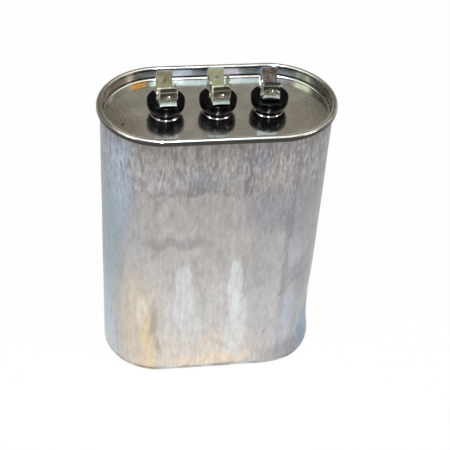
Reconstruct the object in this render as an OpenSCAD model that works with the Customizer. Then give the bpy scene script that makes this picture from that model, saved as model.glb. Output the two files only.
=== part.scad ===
// Oval metal-can motor run capacitor with three quick connect terminals.
// Millimetres. X is the long axis of the can, Z is up, and the origin is the centre of its base.

/* [Can] */
// Length of the can over its outer wall
can_length = 90.2; // [80:0.2:110]
// Width of the can over its outer wall
can_width = 47.2; // [44:0.2:60]
// Height of the rim above the base
rim_height = 127; // [70:1:160]
// Thickness of the drawn wall
can_wall = 0.5; // [0.3:0.05:0.8]
// Thickness of the can's floor
can_floor = 0.8; // [0.5:0.1:1.5]
// Outer radius of the edge between wall and floor
foot_radius = 3; // [1.5:0.1:5]
// Depth of the knock in the wall of the right end
dent_depth = 1.1; // [0.4:0.1:1.3]
// Radius of the rounded thing that made the knock
dent_radius = 36; // [20:1:60]
// Height of the middle of the knock above the base
dent_height = 43; // [25:1:60]
// Direction of the knock round the right end, from the X axis
dent_turn = -62; // [-70:1:-20]

/* [Cover and double seam] */
// Thickness of the cover's tinplate
cover_sheet = 0.3; // [0.2:0.02:0.4]
// Depth of the cover's panel below the rim
recess_depth = 4.8; // [3.5:0.1:8]
// Inner radius between the panel and the wall of the recess
panel_radius = 1; // [0.5:0.1:2]
// Height of the seam's outer face
seam_height = 2.5; // [2.2:0.1:4]
// Outer radius along the top of the seam
seam_radius = 0.9; // [0.5:0.05:1]
// Play between the folded layers of the seam
seam_play = 0.1; // [0.04:0.01:0.15]

/* [Bushings] */
// Distance between neighbouring terminals
terminal_pitch = 20; // [17:0.5:22]
// Largest diameter of a bushing
bushing_d = 14.6; // [13.6:0.1:16]
// Diameter of a bushing's foot on the cover
bushing_foot_d = 9.6; // [8:0.1:11]
// Height of the narrow foot
bushing_foot_h = 0.7; // [0.6:0.05:1.2]
// Height at which the bowl has opened to its full diameter
bushing_bowl_h = 4.6; // [2.5:0.1:4.8]
// Height of the whole bushing above the cover
bushing_h = 6.5; // [5:0.1:9]
// Diameter of the neck that passes through the cover
bushing_neck_d = 6.8; // [5.5:0.1:7.4]
// Radius of the pressed bead round each hole
bead_radius = 0.5; // [0.4:0.05:0.55]

/* [Terminals] */
// Width of a quick connect tab
tab_width = 6.35; // [4.75:0.05:6.35]
// Thickness of the tab stock
tab_thick = 0.8; // [0.5:0.1:0.9]
// Height of the tabs above the top of the bushing
tab_height = 8.5; // [7:0.1:11]
// Height of the two short side tabs of the left cluster
short_tab_height = 5; // [4.5:0.1:6.5]
// Thickness of a tab at its bevelled tip
tip_thick = 0.4; // [0.3:0.05:0.5]
// Reach of the front and rear tabs from the rivet's axis
long_reach = 6.5; // [6:0.1:6.8]
// Reach of the front tab of the right cluster
close_reach = 4.6; // [4.1:0.1:6.8]
// Reach of the side tabs from the rivet's axis
short_reach = 4.1; // [4.1:0.1:5]
// Turn of each cluster about its rivet: left, middle, right
cluster_turn = [2, 2.5, -3.5]; // [-6:0.5:6]
// Diameter of the rivet's shank
rivet_d = 3.2; // [2.4:0.1:3.6]
// Diameter of the rivet's two heads
rivet_head_d = 5.2; // [4.6:0.1:5.6]
// Height of each rivet head
rivet_head_h = 0.9; // [0.6:0.1:1.2]

/* [Inside] */
// Thickness of the rubber gaskets
gasket_h = 1; // [0.6:0.1:2]
// Thickness of the inner insulating washers
washer_h = 1.5; // [1:0.1:2.5]
// Thickness of the tags and leads
tag_thick = 0.5; // [0.3:0.1:0.6]
// Width of the tags and leads
tag_width = 2.5; // [2:0.1:2.6]
// Thickness of the interrupter plate
plate_h = 1.6; // [1:0.1:3]
// Depth of the interrupter plate's top below the cover's panel
plate_depth = 7; // [6.6:0.1:12]
// Height of the spacer that carries the interrupter plate
spacer_h = 6.1; // [5:0.1:9]
// Height of the base pad that carries the winding
pad_h = 3.7; // [3:0.1:8]
// Gap between the winding's wrap and the can
oil_gap = 1.5; // [1.4:0.1:3]
// Thickness of the wrap round the winding
wrap_wall = 0.5; // [0.3:0.1:1]
// Thickness of the sprayed end contacts
spray_h = 0.5; // [0.3:0.1:1]
// Outer width of the winding's flattened core
core_width = 5; // [5:0.1:6]
// Wall of the core tube
core_wall = 1; // [0.8:0.05:1]
// Outer half width of the small section, from the winding's centre line
inner_section_r = 5.3; // [5.1:0.1:7]
// Height by which the film barrier stands above the winding
barrier_h = 2.5; // [1:0.1:3]

/* [Hidden] */
$fn = 96;

// The can's plan is a racetrack: two half circles joined by straights.
span = can_length - can_width;
can_r = can_width / 2;
cavity_r = can_r - can_wall;
cut = 0.01;                                  // overshoot of cutting tools

// Seam layers, from the can's wall outwards: cover hook, body hook, outer wall.
hook_r = can_r + seam_play;
body_hook_r = hook_r + cover_sheet + seam_play;
seam_wall_r = body_hook_r + can_wall + seam_play;
seam_r = seam_wall_r + cover_sheet;
curl_r = (seam_r - hook_r) / 2;              // outer radius of the curl under the body hook
curl_z = rim_height - seam_height + curl_r;
body_bend_r = (body_hook_r + can_wall - cavity_r) / 2;
body_bend_z = rim_height - cover_sheet - seam_play - body_bend_r;

// Cover
panel_z = rim_height - recess_depth;
recess_r = cavity_r - seam_play - cover_sheet;
bead_ring_r = bushing_foot_d / 2 + bead_radius + seam_play;
hole_d = bushing_neck_d + 0.2;

// What is stacked on and under the cover at each terminal
bushing_top = panel_z + bushing_h;
gasket_top = panel_z - cover_sheet;
washer_top = gasket_top - gasket_h;
tag_top = washer_top - washer_h;
rivet_bore_d = rivet_d + 0.2;
stack_brim = 1.2;                            // brim of gasket and washer beyond the bushing's foot
stack_d = bushing_foot_d + 2 * stack_brim;
bend_inner = 0.5;                            // bend of the tab stock
bend_outer = bend_inner + tab_thick;
tab_corner = 1;                              // rounded corners at the tips
bevel_l = 1.2;                               // length of the bevel at the tips
dimple_r = 1;                                // dimple that the mating connector clicks into
dimple_depth = 0.25;
dimple_from_tip = 3.9;
clear = 0.3;                                 // general clearance

// Inside, from the floor up
pad_top = can_floor + pad_h;
winding_z = pad_top + spray_h;
wrap_r = cavity_r - oil_gap;
winding_r = wrap_r - wrap_wall - 0.1;
core_r = core_width / 2;
plate_top = panel_z - plate_depth;
plate_z = plate_top - plate_h;
spacer_z = plate_z - spacer_h;
winding_top = spacer_z - spray_h;
loose_r = cavity_r - clear;                  // outside of what stands loose in the can
barrier_wall = 0.3;
barrier_r = inner_section_r + barrier_wall;
spray_margin = 0.2;                          // bare film beside each sprayed face

// Terminals from left to right: the large section, the common and the small section.
places = [-terminal_pitch, 0, terminal_pitch];
// Reach of each terminal's front tab, lean of its rear tab, height of its side tabs, and whether
// it has a right tab
front_reach = [long_reach, long_reach, close_reach];
rear_lean = [0, 8, 0];
side_height = [short_tab_height, tab_height, tab_height];
has_right_tab = [true, true, false];

// Where each lead stands: in the large section, down the core's slot, and in the small section.
large_lead_y = -8.75;
common_lead_x = 4.75;
small_lead_x = min(places[2], span / 2 - tag_width / 2);
small_lead_y = (core_r + inner_section_r) / 2;
lead_offsets = [
    [0, large_lead_y],
    [common_lead_x, 0],
    [small_lead_x - places[2], small_lead_y]
];
// Direction of each tag's tongue from its rivet, and distance to its near face
tongue_turn = [for (p = lead_offsets) atan2(p[1], p[0])];
tongue_reach = [for (p = lead_offsets) norm(p) - 1.5 * tag_thick];
tongue_lift = 2;                             // height of the tongues' lower ends over the spacer's foot
tongue_tuck = 1;                             // depth of the leads' upper ends under the plate
lap_bottom = spacer_z + tongue_lift;
lap_top = plate_z - tongue_tuck;
lead_foot = 8;                               // length of the common lead's foot beyond the core

// ---- Shared shapes ----

// Solid whose section, drawn to the right of the centre line, follows the racetrack.
module racetrack() {
    for (side = [-1, 1])
        translate([side * span / 2, 0, 0])
            rotate([0, 0, -side * 90])
                rotate_extrude(angle = 180)
                    children();
    translate([-span / 2, 0, 0])
        rotate([90, 0, 90])
            linear_extrude(span) {
                children();
                mirror([1, 0]) children();
            }
}

// Rectangle of a section, from radius r0 to r1 and height z0 to z1.
module band(r0, r1, z0, z1) {
    translate([r0, z0]) square([r1 - r0, z1 - z0]);
}

// Quarter or half of a ring or disc in a section. The window keeps x0..x1 and z0..z1 of the
// outer radius round its centre.
module bend(r, z, outer, inner, x0, x1, z0, z1) {
    translate([r, z])
        intersection() {
            difference() {
                circle(outer);
                if (inner > 0) circle(inner);
            }
            translate([x0, z0] * outer) square([x1 - x0, z1 - z0] * outer);
        }
}

// Section of a block with a rounded lower outer edge.
module footed_block(r, z0, z1, radius) {
    band(0, r - radius, z0, z1);
    band(0, r, z0 + radius, z1);
    bend(r - radius, z0 + radius, radius, 0, 0, 1, -1, 0);
}

module flat_ring(outer_d, bore_d, z, h) {
    translate([0, 0, z])
        difference() {
            cylinder(h = h, d = outer_d);
            translate([0, 0, -cut]) cylinder(h = h + 2 * cut, d = bore_d);
        }
}

// ---- Can and cover ----

// Ball of the given radius about the centre of the knock's curve.
module dent_ball(radius) {
    translate([span / 2, 0, dent_height])
        rotate([0, 0, dent_turn])
            translate([can_r - dent_depth + dent_radius, 0, 0])
                sphere(radius);
}

module can() {
    color("#b9bcc2") {
        difference() {
            racetrack()
                difference() {
                    footed_block(can_r, 0, body_bend_z, foot_radius);
                    footed_block(cavity_r, can_floor, body_bend_z + cut, foot_radius - can_wall);
                }
            dent_ball(dent_radius);
        }
        // The knocked wall keeps its thickness.
        intersection() {
            difference() {
                dent_ball(dent_radius + can_wall);
                dent_ball(dent_radius);
            }
            racetrack() footed_block(can_r, 0, body_bend_z, foot_radius);
        }
        racetrack() {
            bend(cavity_r + body_bend_r, body_bend_z, body_bend_r, body_bend_r - can_wall, -1, 1, 0, 1);
            band(body_hook_r, body_hook_r + can_wall, curl_z, body_bend_z);
        }
    }
}

// Section of the cover outside its flat panel: recess wall, seam top, outer wall, curl and hook.
module cover_edge() {
    bend(recess_r - panel_radius, panel_z + panel_radius,
        panel_radius + cover_sheet, panel_radius, 0, 1, -1, 0);
    band(recess_r, recess_r + cover_sheet, panel_z + panel_radius, rim_height - seam_radius);
    bend(recess_r + seam_radius, rim_height - seam_radius,
        seam_radius, seam_radius - cover_sheet, -1, 0, 0, 1);
    band(recess_r + seam_radius, seam_r - seam_radius, rim_height - cover_sheet, rim_height);
    bend(seam_r - seam_radius, rim_height - seam_radius,
        seam_radius, seam_radius - cover_sheet, 0, 1, 0, 1);
    band(seam_wall_r, seam_r, curl_z, rim_height - seam_radius);
    bend(hook_r + curl_r, curl_z, curl_r, curl_r - cover_sheet, -1, 1, -1, 0);
    band(hook_r, hook_r + cover_sheet, curl_z, body_bend_z);
}

module cover() {
    color("#8c8985")
        difference() {
            union() {
                racetrack() {
                    cover_edge();
                    band(0, recess_r - panel_radius, panel_z - cover_sheet, panel_z);
                }
                for (x = places)
                    translate([x, 0, panel_z])
                        rotate_extrude()
                            translate([bead_ring_r, 0])
                                intersection() {
                                    circle(bead_radius);
                                    translate([-bead_radius, -cover_sheet])
                                        square([2 * bead_radius, bead_radius + cover_sheet]);
                                }
            }
            for (x = places)
                translate([x, 0, panel_z - cover_sheet - bead_radius])
                    cylinder(h = 3 * bead_radius, d = hole_d);
        }
}

// ---- Terminals ----

module bushing() {
    bushing_r = bushing_d / 2;
    flare = (bushing_d - bushing_foot_d) / 2;
    rise = bushing_bowl_h - bushing_foot_h;
    bowl_r = (flare * flare + rise * rise) / (2 * flare);
    edge = 0.4;
    color("#141416")
        translate([0, 0, panel_z])
            difference() {
                union() {
                    translate([0, 0, -cover_sheet - gasket_h])
                        cylinder(h = cover_sheet + gasket_h + cut, d = bushing_neck_d);
                    rotate_extrude() {
                        band(0, bushing_foot_d / 2, 0, bushing_bowl_h);
                        intersection() {
                            translate([bushing_r - bowl_r, bushing_bowl_h]) circle(bowl_r);
                            band(0, bushing_r, bushing_foot_h, bushing_bowl_h);
                        }
                        band(0, bushing_r, bushing_bowl_h, bushing_h - edge);
                        band(0, bushing_r - edge, bushing_bowl_h, bushing_h);
                        translate([bushing_r - edge, bushing_h - edge]) circle(edge);
                    }
                }
                translate([0, 0, -cover_sheet - gasket_h - cut])
                    cylinder(h = bushing_h + cover_sheet + gasket_h + 2 * cut, d = rivet_bore_d);
            }
}

// Flat tab lying along +X, with rounded tip corners, a bevelled tip and a dimple in each face
// where it is long enough.
module tab(length) {
    dimple_ball = (dimple_r * dimple_r + dimple_depth * dimple_depth) / (2 * dimple_depth);
    bevel_h = (tab_thick - tip_thick) / 2;
    difference() {
        intersection() {
            linear_extrude(tab_thick) {
                translate([0, -tab_width / 2]) square([length - tab_corner, tab_width]);
                translate([0, tab_corner - tab_width / 2])
                    square([length, tab_width - 2 * tab_corner]);
                for (side = [-1, 1])
                    translate([length - tab_corner, side * (tab_width / 2 - tab_corner)])
                        circle(tab_corner);
            }
            rotate([90, 0, 0])
                linear_extrude(2 * tab_width, center = true)
                    polygon([
                        [0, 0], [length - bevel_l, 0], [length, bevel_h],
                        [length, tab_thick - bevel_h], [length - bevel_l, tab_thick], [0, tab_thick]
                    ]);
        }
        if (length > dimple_from_tip + dimple_r)
            for (face = [-1, 1])
                translate([
                    length - dimple_from_tip, 0,
                    tab_thick / 2 + face * (tab_thick / 2 - dimple_depth + dimple_ball)
                ])
                    sphere(dimple_ball);
    }
}

// One blade of a cluster: foot strip, bend and upright tab. It lies towards +X.
module blade(reach, height, lean = 0) {
    bend_x = reach - bend_outer;
    angle = 90 - lean;
    translate([0, -tab_width / 2, 0]) cube([bend_x, tab_width, tab_thick]);
    translate([bend_x, 0, bend_outer]) {
        rotate([90, 0, 0])
            linear_extrude(tab_width, center = true)
                intersection() {
                    difference() {
                        circle(bend_outer);
                        circle(bend_inner);
                    }
                    polygon(2 * bend_outer * [
                        [0, 0], [0, -1], [1, -1], [sin(angle), -cos(angle)]
                    ]);
                }
        rotate([0, -angle, 0])
            translate([0, 0, -bend_outer])
                tab((height - bend_outer) / cos(lean));
    }
}

// Cluster number i, folded up from one cross shaped stamping.
module terminal(i) {
    color("#b4ac96")
        translate([places[i], 0, bushing_top])
            rotate([0, 0, cluster_turn[i]])
                difference() {
                    union() {
                        rotate([0, 0, -90]) blade(front_reach[i], tab_height);
                        rotate([0, 0, 90]) blade(long_reach, tab_height, rear_lean[i]);
                        rotate([0, 0, 180]) blade(short_reach, side_height[i]);
                        if (has_right_tab[i]) blade(short_reach, side_height[i]);
                    }
                    translate([0, 0, -cut])
                        cylinder(h = tab_thick + 2 * cut, d = rivet_bore_d);
                }
}

module terminal_rivets() {
    grip_top = bushing_top + tab_thick;
    grip_bottom = tag_top - tag_thick;
    color("#c9c7c0")
        for (x = places)
            translate([x, 0, 0]) {
                translate([0, 0, grip_bottom])
                    cylinder(h = grip_top - grip_bottom, d = rivet_d);
                for (z = [grip_top, grip_bottom - rivet_head_h])
                    translate([0, 0, z])
                        cylinder(h = rivet_head_h, d = rivet_head_d);
            }
}

// ---- Seals and tags under the cover ----

module gasket() {
    color("#2b2d2f") flat_ring(stack_d, bushing_neck_d, washer_top, gasket_h);
}

module washer() {
    color("#7a5230") flat_ring(stack_d, rivet_bore_d, tag_top, washer_h);
}

// Tag of terminal i: an eye on the rivet and a tongue that hangs through the interrupter plate.
module tag(i) {
    eye_d = rivet_head_d + 1;
    z = tag_top - tag_thick;
    tongue = tongue_reach[i] + tag_thick;
    color("#c8c2b0")
        translate([places[i], 0, 0])
            rotate([0, 0, tongue_turn[i]])
                difference() {
                    union() {
                        translate([0, 0, z]) cylinder(h = tag_thick, d = eye_d);
                        translate([0, -tag_width / 2, z]) cube([tongue, tag_width, tag_thick]);
                        translate([tongue_reach[i], -tag_width / 2, lap_bottom])
                            cube([tag_thick, tag_width, tag_top - lap_bottom]);
                    }
                    translate([0, 0, z - cut])
                        cylinder(h = tag_thick + 2 * cut, d = rivet_bore_d);
                }
}

// ---- Winding and what holds it ----

module interrupter_plate() {
    color("#6b4a2b")
        difference() {
            racetrack() band(0, loose_r, plate_z, plate_top);
            for (i = [0:2])
                translate([places[i], 0, plate_z - cut])
                    rotate([0, 0, tongue_turn[i]])
                        translate([tongue_reach[i] - clear, -tag_width / 2 - clear, 0])
                            cube([tag_thick + 2 * clear, tag_width + 2 * clear, plate_h + 2 * cut]);
        }
}

module spacer() {
    ring_wall = 1.2;
    flange_w = 4;
    color("#e6e2d6")
        racetrack() {
            band(loose_r - ring_wall, loose_r, spacer_z, plate_z);
            band(loose_r - flange_w, loose_r, spacer_z, spacer_z + ring_wall);
        }
}

module wrap() {
    color("#d9d4c2") racetrack() band(wrap_r - wrap_wall, wrap_r, pad_top, spacer_z);
}

module winding() {
    color("#c3c6cb")
        racetrack() {
            band(core_r + 0.1, winding_r, winding_z, winding_top);
            band(inner_section_r, barrier_r, winding_z, winding_top + spray_h + barrier_h);
        }
}

module winding_core() {
    color("#e8e8e4") racetrack() band(core_r - core_wall, core_r, pad_top, spacer_z);
}

module large_section_spray() {
    color("#9a9da1")
        racetrack() band(barrier_r + spray_margin, winding_r - spray_margin, winding_top, spacer_z);
}

module small_section_spray() {
    color("#9a9da1")
        racetrack() band(core_r + spray_margin, inner_section_r - spray_margin, winding_top, spacer_z);
}

module common_spray() {
    color("#9a9da1")
        racetrack() band(core_r + spray_margin, winding_r - spray_margin, pad_top, winding_z);
}

// Upright lead beside the tongue of tag i, standing on height z.
module lead(i, z) {
    color("#c8c2b0")
        translate([places[i], 0, 0])
            rotate([0, 0, tongue_turn[i]])
                translate([tongue_reach[i] + tag_thick, -tag_width / 2, z])
                    cube([tag_thick, tag_width, lap_top - z]);
}

// The common lead has a foot under the lower spray, and rises through the core.
module common_lead() {
    x = tongue_reach[1] + tag_thick;
    foot_l = core_r + lead_foot;
    lead(1, pad_top - tag_thick);
    color("#c8c2b0")
        translate([x, -tag_width / 2, pad_top - tag_thick])
            cube([tag_width, tag_width / 2 + foot_l, tag_thick]);
}

module base_pad() {
    pad_floor = 1;
    ledge_w = 4.7;
    color("#e6e2d6")
        racetrack()
            difference() {
                footed_block(loose_r, can_floor, pad_top, foot_radius - can_wall);
                band(-cut, loose_r - ledge_w, can_floor + pad_floor, pad_top + cut);
            }
}

can();
cover();
translate([places[0], 0, 0]) bushing();  // bushing_left
translate([places[1], 0, 0]) bushing();  // bushing_middle
translate([places[2], 0, 0]) bushing();  // bushing_right
terminal(0);  // terminal_left
terminal(1);  // terminal_middle
terminal(2);  // terminal_right
terminal_rivets();
translate([places[0], 0, 0]) gasket();  // gasket_left
translate([places[1], 0, 0]) gasket();  // gasket_middle
translate([places[2], 0, 0]) gasket();  // gasket_right
translate([places[0], 0, 0]) washer();  // washer_left
translate([places[1], 0, 0]) washer();  // washer_middle
translate([places[2], 0, 0]) washer();  // washer_right
tag(0);  // tag_left
tag(1);  // tag_middle
tag(2);  // tag_right
interrupter_plate();
spacer();
wrap();
winding();
winding_core();
large_section_spray();
small_section_spray();
common_spray();
lead(0, spacer_z);  // large_section_lead
lead(2, spacer_z);  // small_section_lead
common_lead();
base_pad();
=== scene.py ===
# %% [markdown]
# # A motor run capacitor
#
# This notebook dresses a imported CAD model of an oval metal-can capacitor. The CAD part brings every
# piece at its real size. Here each piece that can be seen is given the surface of its real
# material, and the soft aluminium can gets the knocks that it picked up in use. Blender works in
# metres, so real sizes are written in millimetres and multiplied by MM.

import functools
import math

import bmesh
import bpy
import numpy as np
from mathutils import Matrix, Vector


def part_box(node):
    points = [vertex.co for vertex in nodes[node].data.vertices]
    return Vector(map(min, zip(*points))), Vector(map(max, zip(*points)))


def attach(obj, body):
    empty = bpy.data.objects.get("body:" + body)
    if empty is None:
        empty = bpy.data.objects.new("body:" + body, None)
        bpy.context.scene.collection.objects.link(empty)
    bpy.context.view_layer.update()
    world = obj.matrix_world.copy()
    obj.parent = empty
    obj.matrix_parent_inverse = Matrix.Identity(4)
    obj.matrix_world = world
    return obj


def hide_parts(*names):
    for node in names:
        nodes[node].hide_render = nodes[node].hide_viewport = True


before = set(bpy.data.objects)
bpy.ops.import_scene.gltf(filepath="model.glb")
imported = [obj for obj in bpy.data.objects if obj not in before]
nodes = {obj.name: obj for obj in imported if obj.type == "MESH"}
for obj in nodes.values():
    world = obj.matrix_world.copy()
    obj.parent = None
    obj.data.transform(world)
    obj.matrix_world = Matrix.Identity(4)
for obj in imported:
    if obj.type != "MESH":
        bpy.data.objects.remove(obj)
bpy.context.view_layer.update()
MM = 0.001
print("CAD nodes:", len(nodes))

# %% [markdown]
# ## The plan of the can
#
# Seen from above, the can is a racetrack: two half circles joined by straights. A racetrack needs
# two numbers, the half length of its straights and its radius. They could be typed in again, but
# then they could drift away from the CAD part, so they are read off the box of the cover. The rim
# stands a little proud of the can's wall, because the two sheets are folded over each other there.

# %% Measure the plan
cover_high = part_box("cover")[1]
rim_z = cover_high.z
seam_r = cover_high.y
half_straight = cover_high.x - seam_r
for name, size in (("rim", rim_z), ("seam radius", seam_r), ("half straight", half_straight)):
    print(f"{name} {size / MM:.1f} mm")

# %% [markdown]
# ## Colours
#
# A colour picked on a screen is an sRGB value, while a renderer adds up linear light. Linear
# numbers could be written straight into a material, but nobody knows them by eye. So every colour
# below is a familiar hex value, and one function turns it into linear light.


# %% Hex to linear light
def linear(hex_code):
    """Linear RGBA of an sRGB hex value."""
    parts = [int(hex_code[i:i + 2], 16) / 255 for i in (1, 3, 5)]
    light = [c / 12.92 if c <= 0.04045 else ((c + 0.055) / 1.055) ** 2.4 for c in parts]
    return (*light, 1.0)


print("screen grey #808080 is", round(linear("#808080")[0], 3), "of the light of white")

# %% [markdown]
# ## Building node trees
#
# A material is a small graph of nodes. A node has settings, such as which sum a Math node does, and
# inputs, which are numbers, colours or other nodes. Nodes could be made and linked one call at a
# time, but that buries a material in housekeeping. This helper adds one node with its settings and
# links at once, so a material reads as a list of what it is made of. An input is named as Blender
# shows it, with _ for a space, or by its place, as _0 and _1, where two inputs share a name.


# %% One function that adds a node
def add(tree, kind, settings=None, **inputs):
    """Adds a node to a tree. A node given as an input is linked from its first enabled output."""
    node = tree.nodes.new(kind)
    for name, value in (settings or {}).items():
        setattr(node, name, value)
    for name, value in inputs.items():
        if name[1:].isdigit():
            socket = node.inputs[int(name[1:])]
        else:
            socket = next(s for s in node.inputs if s.enabled and s.name == name.replace("_", " "))
        if isinstance(value, bpy.types.Node):
            value = next(s for s in value.outputs if s.enabled)
        if isinstance(value, bpy.types.NodeSocket):
            tree.links.new(value, socket)
        else:
            socket.default_value = value
    return node


def new_material(name):
    """A material with an empty tree, and the add function bound to that tree."""
    material = bpy.data.materials.new(name)
    material.use_nodes = True
    material.node_tree.nodes.clear()
    return material, functools.partial(add, material.node_tree)


print("helpers for materials:", add.__name__, "and", new_material.__name__)

# %% [markdown]
# ## The camera
#
# The object is seen from above and from a little to its left. A long lens from half a metre away
# shows the can's sides drawing together only slightly towards the base. The camera is rolled by a
# few degrees, as a camera held in the hand is. It could be moved by eye until the view is right.
# Three angles and a distance are used instead, because they can be read, changed and explained.

# %% Make the camera
AZIMUTH, ELEVATION, ROLL = math.radians(-10.43), math.radians(41.27), math.radians(3.98)
DISTANCE = 492.8 * MM
OFF_CENTRE = (6.0 * MM, -0.13 * MM)
FOCAL_LENGTH, SENSOR_WIDTH = 94.32, 36              # both in millimetres, as Blender has them

back = Vector((
    math.sin(AZIMUTH) * math.cos(ELEVATION),
    -math.cos(AZIMUTH) * math.cos(ELEVATION),
    math.sin(ELEVATION),
))
level = Vector((math.cos(AZIMUTH), math.sin(AZIMUTH), 0))
upward = back.cross(level)
cam_x = math.cos(ROLL) * level + math.sin(ROLL) * upward
cam_y = math.cos(ROLL) * upward - math.sin(ROLL) * level
aim = Vector((0, 0, rim_z / 2))
spot = aim + back * DISTANCE + cam_x * OFF_CENTRE[0] + cam_y * OFF_CENTRE[1]

camera = bpy.data.objects.new("camera", bpy.data.cameras.new("camera"))
camera.data.lens = FOCAL_LENGTH
camera.data.sensor_width = SENSOR_WIDTH
camera.data.clip_start = 10 * MM
camera.matrix_world = Matrix.Translation(spot) @ Matrix((cam_x, cam_y, back)).transposed().to_4x4()
bpy.context.scene.collection.objects.link(camera)
bpy.context.scene.camera = camera
print("camera at", [round(v / MM) for v in spot], "mm")

# %% [markdown]
# ## The studio
#
# Bare metal shows its surroundings more than a colour of its own, so the studio matters as much as
# the material. A white background could come from a very bright world, but that would wash the
# object out. Here the floor and the world are white only where the camera, a mirror or clear glass
# looks at them. The light that they cast on the object is softer, so that a surface renders about
# as bright as its colour is written. The floor still keeps the object's shadow.


# %% Who is looking
def look_share(node):
    """1 for a ray of the camera, a mirror or clear glass, and 0 for scattered light."""
    path = node("ShaderNodeLightPath")
    pair = node("ShaderNodeMath", {"operation": "MAXIMUM"},
                _0=path.outputs["Is Camera Ray"], _1=path.outputs["Is Glossy Ray"])
    return node("ShaderNodeMath", {"operation": "MAXIMUM"},
                _0=pair, _1=path.outputs["Is Transmission Ray"])


print("white is shown to the camera, to mirrors and through clear glass")

# %% World
SHOWN_WHITE, CAST_LIGHT = 1.0, 0.55
bpy.context.scene.view_settings.view_transform = "Standard"
world = bpy.data.worlds.new("studio")
bpy.context.scene.world = world
world.use_nodes = True
world.node_tree.nodes.clear()
node = functools.partial(add, world.node_tree)
shown = node("ShaderNodeBackground", Color=linear("#ffffff"), Strength=SHOWN_WHITE)
cast = node("ShaderNodeBackground", Color=linear("#f6f7fa"), Strength=CAST_LIGHT)
sky = node("ShaderNodeMixShader", Fac=look_share(node), _1=cast, _2=shown)
node("ShaderNodeOutputWorld", Surface=sky)
print("world casts", CAST_LIGHT, "of the light that it shows")


# %% Floor
def board(name, centre, size, facing):
    """A flat rectangle whose front looks at a point."""
    mesh = bpy.data.meshes.new(name)
    w, h = size[0] / 2, size[1] / 2
    mesh.from_pydata([(-w, -h, 0), (w, -h, 0), (w, h, 0), (-w, h, 0)], [], [(0, 1, 2, 3)])
    obj = bpy.data.objects.new(name, mesh)
    turn = (Vector(facing) - Vector(centre)).to_track_quat("Z", "Y").to_matrix().to_4x4()
    obj.matrix_world = Matrix.Translation(centre) @ turn
    bpy.context.scene.collection.objects.link(obj)
    return obj


FLOOR_SIZE = 6                                      # metres, so that its edge is out of sight
SHADOW_SHARE = 0.08                                 # how much of the shadow the paper keeps
material, node = new_material("white_paper")
paper = node("ShaderNodeBsdfDiffuse", Color=linear("#fafafa"))
glow = node("ShaderNodeEmission", Color=linear("#ffffff"), Strength=SHOWN_WHITE)
share = node("ShaderNodeMath", {"operation": "MULTIPLY"}, _0=look_share(node), _1=1 - SHADOW_SHARE)
node("ShaderNodeOutputMaterial", Surface=node("ShaderNodeMixShader", Fac=share, _1=paper, _2=glow))
floor = board("floor", (0, 0, 0), (FLOOR_SIZE, FLOOR_SIZE), (0, 0, 1))
floor.data.materials.append(material)
print("floor:", FLOOR_SIZE, "m square")

# %% [markdown]
# ## Lights
#
# Three soft lights stand in front of the object and to its sides, like the windows of a workshop.
# One large light would be simpler, but three give the wall its slow change from end to end. Mirrors
# don't see them, because square lamps would show as blocks in the polished cover. A bearing of 0 is
# the front, and 90 is the object's right.

# %% Lights by bearing and height
TOP = Vector((0, 0, rim_z))
LIGHT_DISTANCE, LIGHT_SIZE = 1.0, 0.30              # metres


def bearing(turn, rise, distance):
    """The point at a bearing and an angle of rise from the top of the can, both in degrees."""
    turn, rise = math.radians(turn), math.radians(rise)
    flat = distance * math.cos(rise)
    return TOP + Vector((flat * math.sin(turn), -flat * math.cos(turn), distance * math.sin(rise)))


LIGHTS = [
    # name, bearing, rise, watts, colour
    ("front_light", -8, 46, 3.6, "#f1f5ff"),
    ("left_light", -60, 44, 2.6, "#eef3ff"),
    ("right_light", 58, 42, 2.6, "#fff6ea"),
]
for name, turn, rise, watts, colour in LIGHTS:
    data = bpy.data.lights.new(name, "AREA")
    data.shape = "RECTANGLE"
    data.size = data.size_y = LIGHT_SIZE
    data.energy = watts
    data.color = linear(colour)[:3]
    light = bpy.data.objects.new(name, data)
    light.location = bearing(turn, rise, LIGHT_DISTANCE)
    light.rotation_euler = (TOP - light.location).to_track_quat("-Z", "Y").to_euler()
    light.visible_glossy = False
    bpy.context.scene.collection.objects.link(light)
print(len(LIGHTS), "lights")

# %% [markdown]
# ## Cards
#
# What polished metal mirrors is chosen by standing coloured cards round it. A panorama of a real
# room would do the same, but cards are plain to read and to move. These cast no light and the
# camera doesn't see them, but the bright tin does. They give it a light ceiling, a grey wall behind
# and a blue-grey one in front. Narrow bright ones draw the short streaks on the beads and the black
# bowls.

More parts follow.
